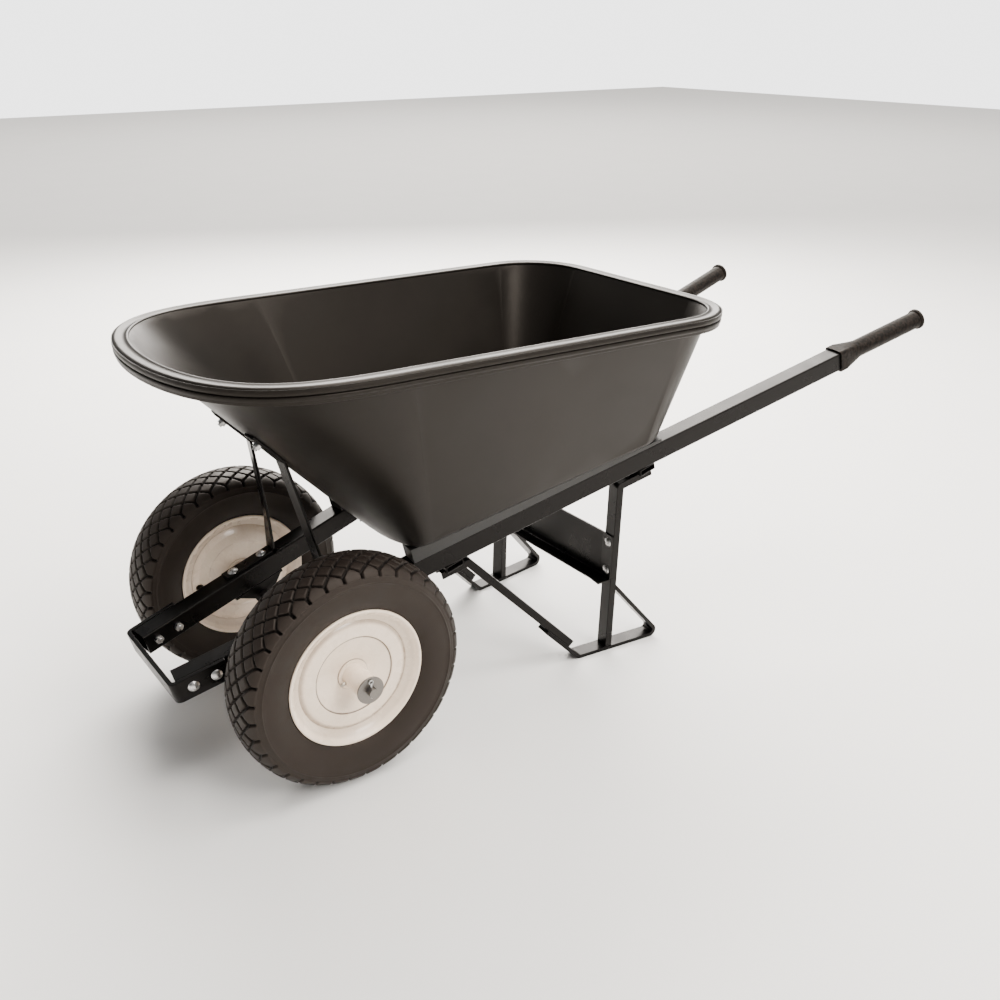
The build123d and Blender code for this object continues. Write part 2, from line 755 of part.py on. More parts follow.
def make_grease_nipple():
    stem = Cylinder(nipple_r, nipple_h, align=(Align.CENTER, Align.CENTER, Align.MIN))
    ball = Pos(0, 0, nipple_h) * Sphere(nipple_r * 0.8)
    seat = Pos(track / 2 + nipple_offset, 0, tyre_r) * Rot(nipple_turn, 0, 0)
    seat *= Pos(0, 0, hub_r - trim_allowance)
    nipple = seat * (stem + ball)
    return nipple - x_rod(hub_r, track / 2, hub_end)


def in_wheel(shape):
    """The same piece on the inner side of the right wheel."""
    return mirror(shape, about=Plane.YZ.offset(track / 2))


# ---- fasteners ----
def fastener(plane, seat, grip, past=bolt_past_nut):
    """Carriage bolt with its head at a height on the plane's normal, and its nut past the grip."""
    seated = plane.offset(seat)
    return carriage_bolt(seated, grip + nut_h + past), nut(seated, grip)


# ---- output ----
nose_bar = make_nose_bar()
right_grip = make_grip()
middle_y = (nose_bar.bounding_box().min.Y + right_grip.bounding_box().max.Y) / 2


def write(name, *shapes):
    solids = [Pos(0, -middle_y, 0) * solid for shape in shapes for solid in shape.solids()]
    export_step(solids[0] if len(solids) == 1 else Compound(children=solids), f"parts/{name}.step")


def write_pair(name, shape):
    right, left = pair(shape)
    write(name + "_right", right)
    write(name + "_left", left)


def write_fasteners(name, parts):
    write(name + "_bolts", *[copy for bolt, nut_ in parts for copy in pair(bolt)])
    write(name + "_nuts", *[copy for bolt, nut_ in parts for copy in pair(nut_)])


def main():
    os.makedirs("parts", exist_ok=True)
    write("tray", make_tray())
    write_pair("rail", make_rail())
    write_pair("grip", right_grip)
    write_pair("riser", make_riser())
    write("cross_strap_front", make_cross_strap(strap_front_s))
    write("cross_strap_rear", make_cross_strap(strap_rear_s))
    write_pair("leg_post", make_leg_post())
    write_pair("leg_brace", make_leg_brace())
    write_pair("foot_loop", make_foot_loop())
    write("leg_cross_plate", make_leg_cross_plate())
    write("nose_bar", nose_bar)
    write_pair("tray_brace", make_tray_brace())
    write_pair("axle_bracket", make_axle_bracket())
    write("axle", make_axle())
    write("axle_spacers", *pair(make_spacer()))
    write("axle_washers", *pair(make_washer()))
    write("split_pins", *pair(make_split_pin()))

    disc = make_disc()
    hole = x_rod(valve_hole_r, 0, track / 2, valve_hole_y, tyre_r + valve_hole_z)
    bush = make_bush()
    write_pair("tyre", make_tyre())
    write_pair("rim", make_rim())
    write_pair("disc_outer", disc)
    write_pair("disc_inner", in_wheel(disc) - hole)
    write_pair("hub", make_hub())
    write_pair("grease_nipple", make_grease_nipple())
    for side, shift in zip(("right", "left"), pair(bush + in_wheel(bush))):
        write("bushes_" + side, shift)

    nose_axes = [bolt_axis(rail_point(s), rail_out) for s in nose_bolt_s]
    write_fasteners("nose", [fastener(bolt, rail_half + nose_t, nose_t + rail_size) for bolt in nose_axes])
    write_fasteners("bracket", [fastener(bolt, rail_half + brace_t, brace_t + rail_size + bracket_t)
                                for bolt in bracket_bolts])
    under_leg = under_strap - channel_wall
    deck_seats = [deck_seat(bolt) + seat_gap for bolt in deck_bolts]
    write_fasteners("deck", [fastener(bolt, seat, seat - under_leg, deck_bolt_past_nut)
                             for bolt, seat in zip(deck_bolts, deck_seats)])
    wall_seat = wall_here + seat_gap
    write_fasteners("tray_brace", [fastener(tab_bolt, wall_seat, wall_seat + brace_tab_gap + brace_t)])
    write_fasteners("plate", [fastener(plate_bolt(z), 0, plate_t + channel_wall) for z in plate_bolt_z])


main()
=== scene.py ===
# %% [markdown]
# # A two-wheel wheelbarrow
# The barrow is a moulded tray on a bolted frame of square tube, with two flat-free wheels on
# one fixed axle. Its sizes and joints are settled already, in a frame of CAD parts. This lesson
# gives each part the finish of the real one, and makes new meshes where the CAD solid is only
# a stand-in, as for the tyres. The first cell loads the frame and finds the middle of the axle.

# %% Load the frame
import json
import math

import bpy
import numpy as np
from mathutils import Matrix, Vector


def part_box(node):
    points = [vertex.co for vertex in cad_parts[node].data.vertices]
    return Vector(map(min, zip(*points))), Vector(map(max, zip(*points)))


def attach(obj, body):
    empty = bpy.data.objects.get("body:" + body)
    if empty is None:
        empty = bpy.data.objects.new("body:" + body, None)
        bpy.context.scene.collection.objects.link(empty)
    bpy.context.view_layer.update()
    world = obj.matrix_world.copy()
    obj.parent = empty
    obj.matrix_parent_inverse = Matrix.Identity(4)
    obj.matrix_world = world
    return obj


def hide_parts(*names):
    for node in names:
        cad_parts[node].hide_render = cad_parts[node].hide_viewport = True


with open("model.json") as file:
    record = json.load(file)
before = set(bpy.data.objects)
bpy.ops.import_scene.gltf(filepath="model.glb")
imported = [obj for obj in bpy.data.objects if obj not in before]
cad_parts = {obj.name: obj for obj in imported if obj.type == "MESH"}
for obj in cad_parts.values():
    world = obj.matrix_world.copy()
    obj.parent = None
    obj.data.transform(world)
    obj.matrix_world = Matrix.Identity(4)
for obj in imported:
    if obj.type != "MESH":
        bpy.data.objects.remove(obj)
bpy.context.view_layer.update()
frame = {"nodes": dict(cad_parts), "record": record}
MM = 0.001
axle_low, axle_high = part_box("axle")
axle_y = (axle_low[1] + axle_high[1]) / 2
axle_z = (axle_low[2] + axle_high[2]) / 2
print("CAD nodes", len(frame["nodes"]), "axle at y", round(axle_y, 4), "z", round(axle_z, 4))

# %% [markdown]
# ## Camera
# The camera comes first, because every later choice is judged through it. It stands ahead of
# the nose, to the right and above the rim, about 2.2 m away, and looks down a little. Its place
# is measured from the axle, so it stays right if the barrow's middle moves.

# %% Camera
camera_data = bpy.data.cameras.new("camera")
camera_data.sensor_width = 36.0
camera_data.lens = 38.55
camera = bpy.data.objects.new("camera", camera_data)
camera.location = (1.5833, axle_y - 0.6845, 1.1846)
camera.rotation_euler = (math.radians(90 - 24.25), 0.0, math.radians(53.68))
bpy.context.scene.collection.objects.link(camera)
bpy.context.scene.camera = camera
print("camera at", [round(v, 3) for v in camera.location])

# %% [markdown]
# ## Colours and nodes
# Colours are easiest to think of as sRGB hex values, but Blender's sockets take linear ones, so
# one function turns them. A second function adds a node, sets its values and links its inputs,
# which keeps each material short enough to read as a list of its real causes. The mix node has
# unnamed copies of its sockets for each kind of value, so the four for colours get names.

# %% Helpers for materials
SHARE, COLOUR_A, COLOUR_B, MIXED = 0, 6, 7, 2


def linear(hex_colour):
    """Linear red, green, blue and alpha of an sRGB hex colour."""
    shares = [int(hex_colour[i:i + 2], 16) / 255 for i in (1, 3, 5)]
    return [v / 12.92 if v <= 0.04045 else ((v + 0.055) / 1.055) ** 2.4 for v in shares] + [1.0]


def add(tree, kind, settings=(), links=()):
    """Add a node. Settings are attributes or input values, links are outputs for its inputs."""
    node = tree.nodes.new(kind)
    for name, value in dict(settings).items():
        if isinstance(name, str) and hasattr(node, name):
            setattr(node, name, value)
        else:
            node.inputs[name].default_value = value
    for name, output in dict(links).items():
        tree.links.new(output, node.inputs[name])
    return node


def start_material(name):
    """An empty material and its node tree."""
    material = bpy.data.materials.new(name)
    material.use_nodes = True
    material.node_tree.nodes.clear()
    return material, material.node_tree


def end_material(tree, settings, links):
    """The shader and the output that every material ends with."""
    shader = add(tree, "ShaderNodeBsdfPrincipled", settings, links)
    add(tree, "ShaderNodeOutputMaterial", {}, {"Surface": shader.outputs["BSDF"]})


finishes = {}
print("white is", linear("#ffffff"))

# %% [markdown]
# ## Moulded polyethylene
# The tray is high-density polyethylene, moulded in one piece with its colour mixed in. The mould
# has a fine matt grain, so highlights spread out softly, and the wall cools unevenly, so its
# gloss drifts over a hand's width. The real grain is under a millimetre, too fine to show from
# here, so it is drawn at 2.5 mm.

# %% Material of the tray
def moulded_polyethylene():
    material, tree = start_material("moulded_polyethylene")
    place = add(tree, "ShaderNodeTexCoord").outputs["Object"]
    drift = add(tree, "ShaderNodeTexNoise", {"Scale": 1 / (160 * MM), "Detail": 3.0}, {"Vector": place})
    grain = add(tree, "ShaderNodeTexNoise", {"Scale": 1 / (2.5 * MM), "Detail": 2.0}, {"Vector": place})
    shade = add(tree, "ShaderNodeMix",
                {"data_type": "RGBA", COLOUR_A: linear("#0f0d0b"), COLOUR_B: linear("#161310")},
                {SHARE: drift.outputs["Fac"]})
    gloss = add(tree, "ShaderNodeMapRange",
                {"From Min": 0.3, "From Max": 0.7, "To Min": 0.38, "To Max": 0.5},
                {"Value": drift.outputs["Fac"]})
    bump = add(tree, "ShaderNodeBump", {"Strength": 0.25, "Distance": 0.3 * MM},
               {"Height": grain.outputs["Fac"]})
    end_material(tree, {"IOR": 1.54, "Specular IOR Level": 0.19, "Specular Tint": linear("#f6ebe1")},
                 {"Base Color": shade.outputs[MIXED], "Roughness": gloss.outputs["Result"],
                  "Normal": bump.outputs["Normal"]})
    return material


finishes["tray_plastic"] = moulded_polyethylene()
print("made", finishes["tray_plastic"].name)

# %% [markdown]
# ## Powder coat
# The frame is mild steel, sprayed with black polyester powder and baked. The powder melts into
# a skin with a slight orange peel, a few millimetres from bump to bump, and it is glossy enough
# that upward faces mirror the light above them.

# %% Material of the frame
def powder_coated_steel():
    material, tree = start_material("powder_coated_steel")
    place = add(tree, "ShaderNodeTexCoord").outputs["Object"]
    peel = add(tree, "ShaderNodeTexNoise", {"Scale": 1 / (3.0 * MM), "Detail": 1.0}, {"Vector": place})
    haze = add(tree, "ShaderNodeTexNoise", {"Scale": 1 / (45 * MM), "Detail": 4.0}, {"Vector": place})
    shade = add(tree, "ShaderNodeMix",
                {"data_type": "RGBA", COLOUR_A: linear("#020202"), COLOUR_B: linear("#050505")},
                {SHARE: haze.outputs["Fac"]})
    gloss = add(tree, "ShaderNodeMapRange",
                {"From Min": 0.3, "From Max": 0.7, "To Min": 0.24, "To Max": 0.36},
                {"Value": haze.outputs["Fac"]})
    bump = add(tree, "ShaderNodeBump", {"Strength": 0.3, "Distance": 0.15 * MM},
               {"Height": peel.outputs["Fac"]})
    end_material(tree, {"IOR": 1.52, "Specular IOR Level": 0.13, "Specular Tint": linear("#fbf3ee")},
                 {"Base Color": shade.outputs[MIXED], "Roughness": gloss.outputs["Result"],
                  "Normal": bump.outputs["Normal"]})
    return material


finishes["frame_powder_coat"] = powder_coated_steel()
print("made", finishes["frame_powder_coat"].name)

# %% [markdown]
# ## Enamel on the wheels
# Rim, discs and hub are pressed steel, dipped in cream-white enamel and stoved. Enamel flows
# out almost flat and shines, with only a faint waviness from the pressing under it. The seams
# are painted darker, as grime from the dip and as painted shade. The rim's hollow is painted a
# little darker, as painted shade. The meshes mark this with a value from 0 to 1.

# %% Material of the rims, discs and hubs
def stoved_enamel():
    material, tree = start_material("stoved_enamel")
    place = add(tree, "ShaderNodeTexCoord").outputs["Object"]
    waves = add(tree, "ShaderNodeTexNoise", {"Scale": 1 / (22 * MM), "Detail": 2.0}, {"Vector": place})
    specks = add(tree, "ShaderNodeTexNoise", {"Scale": 1 / (4 * MM), "Detail": 6.0}, {"Vector": place})
    clean = add(tree, "ShaderNodeMix",
                {"data_type": "RGBA", COLOUR_A: linear("#efd8c0"), COLOUR_B: linear("#f8e7d4")},
                {SHARE: specks.outputs["Fac"]})
    # Painted shade: a value that the mesh carries mixes the enamel towards dark brown. In the seams this is
    # grime and painted shade, and in the rim's hollow it is painted shade.
    grime_and_shade = add(tree, "ShaderNodeAttribute", {"attribute_name": "grime_and_shade"})
    shade = add(tree, "ShaderNodeMix", {"data_type": "RGBA", COLOUR_B: linear("#5b4636")},
                {SHARE: grime_and_shade.outputs["Fac"], COLOUR_A: clean.outputs[MIXED]})
    gloss = add(tree, "ShaderNodeMapRange",
                {"From Min": 0.3, "From Max": 0.7, "To Min": 0.22, "To Max": 0.34},
                {"Value": waves.outputs["Fac"]})
    bump = add(tree, "ShaderNodeBump", {"Strength": 0.2, "Distance": 0.4 * MM},
               {"Height": waves.outputs["Fac"]})
    end_material(tree, {"IOR": 1.5, "Coat Weight": 0.3, "Coat Roughness": 0.12},
                 {"Base Color": shade.outputs[MIXED], "Roughness": gloss.outputs["Result"],
                  "Normal": bump.outputs["Normal"]})
    return material


finishes["wheel_enamel"] = stoved_enamel()
print("made", finishes["wheel_enamel"].name)

# %% [markdown]
# ## Tyre rubber
# A flat-free tyre is foamed rubber with a dense moulded skin. It is brown-grey rather than
# black, and dull. Down in the grooves it is painted near black as painted shade, by a value from
# 0 to 1 that the mesh carries. The mould was turned on a lathe, so the side wall carries faint rings,
# 1.5 mm apart on the real one and drawn at 3 mm here.

# %% Material of the tyres
def moulded_tyre_rubber():
    material, tree = start_material("moulded_tyre_rubber")
    place = add(tree, "ShaderNodeTexCoord").outputs["Object"]
    dust = add(tree, "ShaderNodeTexNoise", {"Scale": 1 / (30 * MM), "Detail": 5.0}, {"Vector": place})
    grit = add(tree, "ShaderNodeTexNoise", {"Scale": 1 / (2 * MM), "Detail": 3.0}, {"Vector": place})
    skin = add(tree, "ShaderNodeMix",
               {"data_type": "RGBA", COLOUR_A: linear("#17120f"), COLOUR_B: linear("#251e1a")},
               {SHARE: dust.outputs["Fac"]})
    # Painted shade: a value that the mesh carries mixes the rubber towards near black down in the grooves.
    groove_shade = add(tree, "ShaderNodeAttribute", {"attribute_name": "groove"})
    shade = add(tree, "ShaderNodeMix", {"data_type": "RGBA", COLOUR_B: linear("#050404")},
                {SHARE: groove_shade.outputs["Fac"], COLOUR_A: skin.outputs[MIXED]})
    flat = add(tree, "ShaderNodeVectorMath", {"operation": "MULTIPLY", 1: (0.0, 1.0, 1.0)}, {0: place})
    radius = add(tree, "ShaderNodeVectorMath", {"operation": "LENGTH"}, {0: flat.outputs["Vector"]})
    turns = add(tree, "ShaderNodeMath", {"operation": "MULTIPLY", 1: 2 * math.pi / (3 * MM)},
                {0: radius.outputs["Value"]})
    rings = add(tree, "ShaderNodeMath", {"operation": "SINE"}, {0: turns.outputs["Value"]})
    relief = add(tree, "ShaderNodeMath", {"operation": "MULTIPLY_ADD", 1: 0.12},
                 {0: rings.outputs["Value"], 2: grit.outputs["Fac"]})
    bump = add(tree, "ShaderNodeBump", {"Strength": 0.35, "Distance": 0.3 * MM},
               {"Height": relief.outputs["Value"]})
    gloss = add(tree, "ShaderNodeMapRange",
                {"From Min": 0.3, "From Max": 0.7, "To Min": 0.5, "To Max": 0.66},
                {"Value": dust.outputs["Fac"]})
    end_material(tree, {"IOR": 1.52, "Specular IOR Level": 0.3, "Specular Tint": linear("#f6ebe1")},
                 {"Base Color": shade.outputs[MIXED], "Roughness": gloss.outputs["Result"],
                  "Normal": bump.outputs["Normal"]})
    return material


finishes["tyre_rubber"] = moulded_tyre_rubber()
print("made", finishes["tyre_rubber"].name)

# %% [markdown]
# ## Grip rubber
# The grips are softer black rubber with a pebbled skin, so that wet gloves hold. The pebbles are
# about 3 mm across. A cell pattern gives them, since each stands apart from its neighbours, and
# it is drawn at 7 mm so that it shows from two metres away.

# %% Material of the grips
def pebbled_rubber():
    material, tree = start_material("pebbled_rubber")
    place = add(tree, "ShaderNodeTexCoord").outputs["Object"]
    pebbles = add(tree, "ShaderNodeTexVoronoi", {"Scale": 1 / (7 * MM), "feature": "SMOOTH_F1"},
                  {"Vector": place})
    skin = add(tree, "ShaderNodeTexNoise", {"Scale": 1 / (6 * MM), "Detail": 2.0}, {"Vector": place})
    mottle = add(tree, "ShaderNodeMapRange", {"From Min": 0.4, "From Max": 0.62},
                 {"Value": skin.outputs["Fac"]})
    shade = add(tree, "ShaderNodeMix",
                {"data_type": "RGBA", COLOUR_A: linear("#020202"), COLOUR_B: linear("#1d1815")},
                {SHARE: mottle.outputs["Result"]})
    bump = add(tree, "ShaderNodeBump", {"Strength": 0.7, "Distance": 0.8 * MM, "invert": True},
               {"Height": pebbles.outputs["Distance"]})
    gloss = add(tree, "ShaderNodeMapRange",
                {"From Min": 0.3, "From Max": 0.7, "To Min": 0.5, "To Max": 0.62},
                {"Value": skin.outputs["Fac"]})
    end_material(tree, {"IOR": 1.52, "Specular IOR Level": 0.12, "Specular Tint": linear("#f6ebe1")},
                 {"Base Color": shade.outputs[MIXED], "Roughness": gloss.outputs["Result"],
                  "Normal": bump.outputs["Normal"]})
    return material


finishes["grip_rubber"] = pebbled_rubber()
print("made", finishes["grip_rubber"].name)

# %% [markdown]
# ## Small parts
# Bolts, nuts and split pins are bright zinc plate, which is metal with a mottled,
# grey-white crystal skin. The axle, its spacers and its big outer washers are plain drawn steel,
# with fine lines along the bar. The risers are hard black moulded plastic, and the bushes are pale nylon.

# %% Materials of the small parts
def metal_finish(name, dark, light, rough_low, rough_high, pitch_mm, along=1.0):
    """Bare or plated metal: its tone and its gloss both vary over the same pattern."""
    material, tree = start_material(name)
    place = add(tree, "ShaderNodeTexCoord").outputs["Object"]
    stretch = add(tree, "ShaderNodeMapping", {"Scale": (along, 1.0, 1.0)}, {"Vector": place})
    pattern = add(tree, "ShaderNodeTexNoise", {"Scale": 1 / (pitch_mm * MM), "Detail": 4.0},
                  {"Vector": stretch.outputs["Vector"]})
    shade = add(tree, "ShaderNodeMix", {"data_type": "RGBA", COLOUR_A: linear(dark), COLOUR_B: linear(light)},
                {SHARE: pattern.outputs["Fac"]})
    gloss = add(tree, "ShaderNodeMapRange",
                {"From Min": 0.3, "From Max": 0.7, "To Min": rough_low, "To Max": rough_high},
                {"Value": pattern.outputs["Fac"]})
    end_material(tree, {"Metallic": 1.0},
                 {"Base Color": shade.outputs[MIXED], "Roughness": gloss.outputs["Result"]})
    return material


def moulded_plastic(name, dark, light, roughness_low, roughness_high):
    """Hard plastic from a mould with a light matt grain."""
    material, tree = start_material(name)
    place = add(tree, "ShaderNodeTexCoord").outputs["Object"]
    grain = add(tree, "ShaderNodeTexNoise", {"Scale": 1 / (3 * MM), "Detail": 3.0}, {"Vector": place})
    shade = add(tree, "ShaderNodeMix", {"data_type": "RGBA", COLOUR_A: linear(dark), COLOUR_B: linear(light)},
                {SHARE: grain.outputs["Fac"]})
    gloss = add(tree, "ShaderNodeMapRange",
                {"From Min": 0.3, "From Max": 0.7, "To Min": roughness_low, "To Max": roughness_high},
                {"Value": grain.outputs["Fac"]})
    bump = add(tree, "ShaderNodeBump", {"Strength": 0.2, "Distance": 0.2 * MM},
               {"Height": grain.outputs["Fac"]})
    end_material(tree, {"IOR": 1.53}, {"Base Color": shade.outputs[MIXED], "Roughness": gloss.outputs["Result"],
                                       "Normal": bump.outputs["Normal"]})
    return material


finishes["zinc_steel"] = metal_finish("bright_zinc_plate", "#a9a8a8", "#d6d5d3", 0.22, 0.4, 5)
finishes["axle_steel"] = metal_finish("drawn_steel_bar", "#6a6662", "#8b8782", 0.3, 0.45, 1.5, 0.04)
finishes["nipple_steel"] = metal_finish("plated_nipple_steel", "#9a938a", "#b9b2a8", 0.25, 0.4, 3)
finishes["riser_plastic"] = moulded_plastic("moulded_riser_plastic", "#0e0d0c", "#181614", 0.5, 0.62)
finishes["bush_nylon"] = moulded_plastic("moulded_nylon", "#b9b2a6", "#cbc5ba", 0.4, 0.5)
print("finishes", sorted(finishes))

# %% [markdown]
# ## Finish every CAD part
# Each part names its slot in the record, so one loop can hand out the finishes. Pressed, welded
# and moulded parts have no razor edges, so nearly every part also gets a small bevel, which is
# what catches a line of light along an edge. The bevel is a modifier, so the part keeps its own mesh.
# The rails are drawn tube with round corners already, so they are left as they are.

# %% Finishes and softened edges
edge_round = {"frame_powder_coat": 1.2, "tray_plastic": 1.6, "wheel_enamel": 0.8, "grip_rubber": 2.0,
              "riser_plastic": 1.2, "zinc_steel": 0.4, "axle_steel": 0.6, "nipple_steel": 0.3,
              "bush_nylon": 0.4, "tyre_rubber": 1.0}


def soften(part, width_mm):
    """Join the mesh's split corners, round its edges and harden the normals beside the rounds."""
    weld = part.modifiers.new("weld", "WELD")
    weld.merge_threshold = 0.01 * MM
    bevel = part.modifiers.new("edges", "BEVEL")
    bevel.width = width_mm * MM
    bevel.segments = 2
    bevel.limit_method = "ANGLE"
    bevel.angle_limit = math.radians(35)
    bevel.harden_normals = True


for entry in frame["record"]["subparts"]:
    part = frame["nodes"][entry["node"]]
    part.material_slots[0].material = finishes[entry["material_slot"]]
    if not entry["node"].startswith("rail"):
        soften(part, edge_round[entry["material_slot"]])

# %% [markdown]
# ## Rolled rim of the tray
# The tray's edge is rolled over as it leaves the mould: a thin bead inside, a shallow channel,
# a thick bead outside, and below it a groove, a band and a lip that stiffen the edge. The CAD
# rim has those steps but square, so a rolled skin goes over it. The skin is one section swept
# round the rim, and rays shot in at the CAD rim say where the rim is.

# %% Path of the rim
from mathutils import Vector
from mathutils.bvhtree import BVHTree

tray = frame["nodes"]["tray"]
tray_points = [tuple(v.co) for v in tray.data.vertices]
tray_faces = [tuple(p.vertices) for p in tray.data.polygons]
tray_tree = BVHTree.FromPolygons(tray_points, tray_faces)
tray_low, tray_high = (Vector(corner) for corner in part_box("tray"))
rim_fall = math.radians(1.15)
rim_middle = Vector((0.0, (tray_low.y + tray_high.y) / 2, 0.0))


def rim_top(y):
    """Height of the rim plane, which falls a little to the rear."""
    return tray_high.z - (y - tray_low.y) * math.tan(rim_fall)


def rim_path(count, below):
    """Points round the rim's outside, evenly spaced, at a depth below the rim plane."""
    found = []
    for i in range(4 * count):
        turn = 2 * math.pi * i / (4 * count)
        out = Vector((math.sin(turn), math.cos(turn), 0.0))
        start = rim_middle + out * 1.2
        start.z = rim_top(start.y) - below
        inward = Vector((-out.x, -out.y, out.y * math.tan(rim_fall)))
        found.append(np.array(tray_tree.ray_cast(start, inward)[0]))
    found = np.array(found + found[:1])
    run = np.concatenate([[0.0], np.cumsum(np.linalg.norm(np.diff(found, axis=0), axis=1))])
    marks = np.linspace(0, run[-1], count, endpoint=False)
    return np.stack([np.interp(marks, run, found[:, axis]) for axis in range(3)], axis=1)


rim_count = 360
path = rim_path(rim_count, 4 * MM)
for _ in range(6):
    path = (np.roll(path, 1, axis=0) + path * 2 + np.roll(path, -1, axis=0)) / 4
ahead = np.roll(path, -1, axis=0) - np.roll(path, 1, axis=0)
rim_out = np.stack([-ahead[:, 1], ahead[:, 0], np.zeros(rim_count)], axis=1)
rim_out /= np.linalg.norm(rim_out, axis=1)[:, None]
rim_out *= np.sign(np.sum(rim_out * (path - np.array(rim_middle)), axis=1))[:, None]
print("rim runs", round(float(np.linalg.norm(ahead, axis=1).sum() / 2), 2), "m")

# %% [markdown]
# The section is drawn as offsets from the path, outwards and up, in millimetres. It runs from the
# inner bead over the top to the lip underneath. Each point of the path carries one copy of it,
# and neighbours are joined by quads. One step of subdivision then rounds the corners.

# %% Section of the rim, and the sweep
rim_section = [(-23.5, -7.0), (-26.4, -3.0), (-27.2, 0.2), (-26.2, 2.2), (-24.2, 2.9), (-22.2, 2.0),
               (-19.5, 0.9), (-16.0, 0.7), (-12.0, 1.4), (-8.5, 2.9), (-5.2, 3.2), (-2.0, 1.8), (0.2, -1.2),
               (0.9, -4.6), (0.7, -7.8), (0.0, -9.3), (-2.9, -9.9), (-3.4, -10.7), (-2.9, -11.4),
               (-0.3, -11.9), (0.1, -13.4), (0.1, -16.0), (-0.4, -17.6), (-1.9, -18.4), (-2.2, -20.0),
               (-2.3, -22.8), (-3.1, -24.4), (-5.0, -25.0), (-8.6, -24.6), (-9.4, -20.0)]
section_out = np.array(rim_section)[:, 0] * MM
section_up = (np.array(rim_section)[:, 1] + 4.0) * MM
rim_points = (path[:, None, :] + rim_out[:, None, :] * section_out[None, :, None]
              + np.array([0.0, 0.0, 1.0]) * section_up[None, :, None])
rows = len(rim_section)
sections = [(i * rows, (i + 1) % rim_count * rows) for i in range(rim_count)]
rim_faces = [(here + j, after + j, after + j + 1, here + j + 1)
             for here, after in sections for j in range(rows - 1)]
rim_mesh = bpy.data.meshes.new("rolled_rim")
rim_mesh.from_pydata(rim_points.reshape(-1, 3).tolist(), [], rim_faces)
rim_mesh.shade_smooth()
rim_mesh.materials.append(finishes["tray_plastic"])
rolled_rim = bpy.data.objects.new("rolled_rim", rim_mesh)
bpy.context.scene.collection.objects.link(rolled_rim)
rounding = rolled_rim.modifiers.new("rounding", "SUBSURF")
rounding.levels = rounding.render_levels = 1
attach(rolled_rim, "frame")
print("rim faces", len(rim_faces))

# %% [markdown]
# ## Tyres
# The tread is a net of grooves that cross at a slant and leave diamonds, with half diamonds and
# short straight notches at the shoulders. A revolved section can't hold that, so the tyre is a
# grid of points round the wheel: the section gives each point its place, and the distance to
# the nearest groove says how far it sinks. The grid is finest where the grooves are.

# %% Section of the tyre
def arc_points(first, middle, last, step):
    """Points of the circle through three points, about one step apart, without the first."""
    (ax, ay), (bx, by), (cx, cy) = first, middle, last
    d = 2 * (ax * (by - cy) + bx * (cy - ay) + cx * (ay - by))
    a2, b2, c2 = ax ** 2 + ay ** 2, bx ** 2 + by ** 2, cx ** 2 + cy ** 2
    ux = (a2 * (by - cy) + b2 * (cy - ay) + c2 * (ay - by)) / d
    uy = (a2 * (cx - bx) + b2 * (ax - cx) + c2 * (bx - ax)) / d
    radius = math.hypot(ax - ux, ay - uy)
    start = math.atan2(ay - uy, ax - ux)
    sweep = (math.atan2(cy - uy, cx - ux) - start + math.pi) % (2 * math.pi) - math.pi
    count = max(2, round(abs(sweep) * radius / step))
    turns = [start + sweep * i / count for i in range(1, count + 1)]
    return [(ux + radius * math.cos(turn), uy + radius * math.sin(turn)) for turn in turns]


crown_r = 203.0
tread_step = 1.15
shoulder = (32.0, 198.5)
widest = (51.0, 167.0)
bead_edge = (40.5, 124.0)
half_section = [(0.0, crown_r)]
half_section += arc_points((0, crown_r), (shoulder[0] / 2, 201.9), shoulder, tread_step)
half_section += arc_points(shoulder, (45.5, 189.0), widest, tread_step)
half_section += arc_points(widest, (49.0, 146.0), bead_edge, 3.0)
half_section += [(39.2, 122.0), (36.0, 119.5)]
section = np.array([(-x, r) for x, r in reversed(half_section[1:])] + half_section)
steps = np.linalg.norm(np.diff(section, axis=0), axis=1)
along = np.concatenate([[0.0], np.cumsum(steps)])
along -= along[len(half_section) - 1]
slopes = np.gradient(section, axis=0)
outward = np.stack([-slopes[:, 1], slopes[:, 0]], axis=1)
outward /= np.linalg.norm(outward, axis=1)[:, None]
print("section points", len(section), "half length", round(along[-1], 1), "mm")

# %% [markdown]
# The tread repeats 37 times round the wheel. In each repeat two families of slanting grooves
# cross, and at the shoulder they give way to one straight notch. The relief also holds the step
# between tread and side wall and the one thin ridge on the wall.

# %% Tread and side wall relief
tread_repeats = 37
points_per_repeat = 30
groove_half_w = 1.9
groove_depth = 6.0
notch_share = 1.4           # a notch's depth, in groove depths
diamond_w = 29.0
tread_end = 56.0            # along the section from the crown, as is the ridge's place
wall_step = 1.6
ridge_place = 66.0
ridge_h = 1.4


def smooth_step(value, low, high):
    """0 below low, 1 above high, and an even curve between."""
    share = np.clip((value - low) / (high - low), 0, 1)
    return share * share * (3 - 2 * share)


def to_line(phase, pitch):
    """Distance to the nearest whole number, in units of pitch."""
    return np.abs(phase - np.round(phase)) * pitch


def tread_relief(turn, across):
    """Depth of the grooves, and of the whole surface below its section, in mm, at a turn in repeats."""
    pitch = 2 * math.pi * crown_r / tread_repeats
    slant = 1 / math.hypot(1 / pitch, 1 / diamond_w)
    crossing = 1.5 * diamond_w
    lean = across / diamond_w
    to_net = np.minimum(to_line(turn + lean, slant), to_line(turn - lean, slant))
    to_notch = to_line(turn + 0.5, pitch)
    side = np.abs(across)
    net = (1 - smooth_step(to_net, groove_half_w - 0.5, groove_half_w + 0.6)) * (side < crossing + 1)
    notch = notch_share * (1 - smooth_step(to_notch, groove_half_w + 0.2, groove_half_w + 1.4))
    notch = notch * (side > crossing - 0.5)
    fade = 1 - smooth_step(side, tread_end - 4, tread_end)
    relief = groove_depth * np.maximum(net, notch) * fade
    side_drop = wall_step * smooth_step(side, tread_end - 2, tread_end + 1)
    ridge = -ridge_h * (1 - smooth_step(np.abs(side - ridge_place), 0.6, 1.8)) * np.ones_like(turn)
    return np.minimum(relief, groove_depth), relief + side_drop + ridge


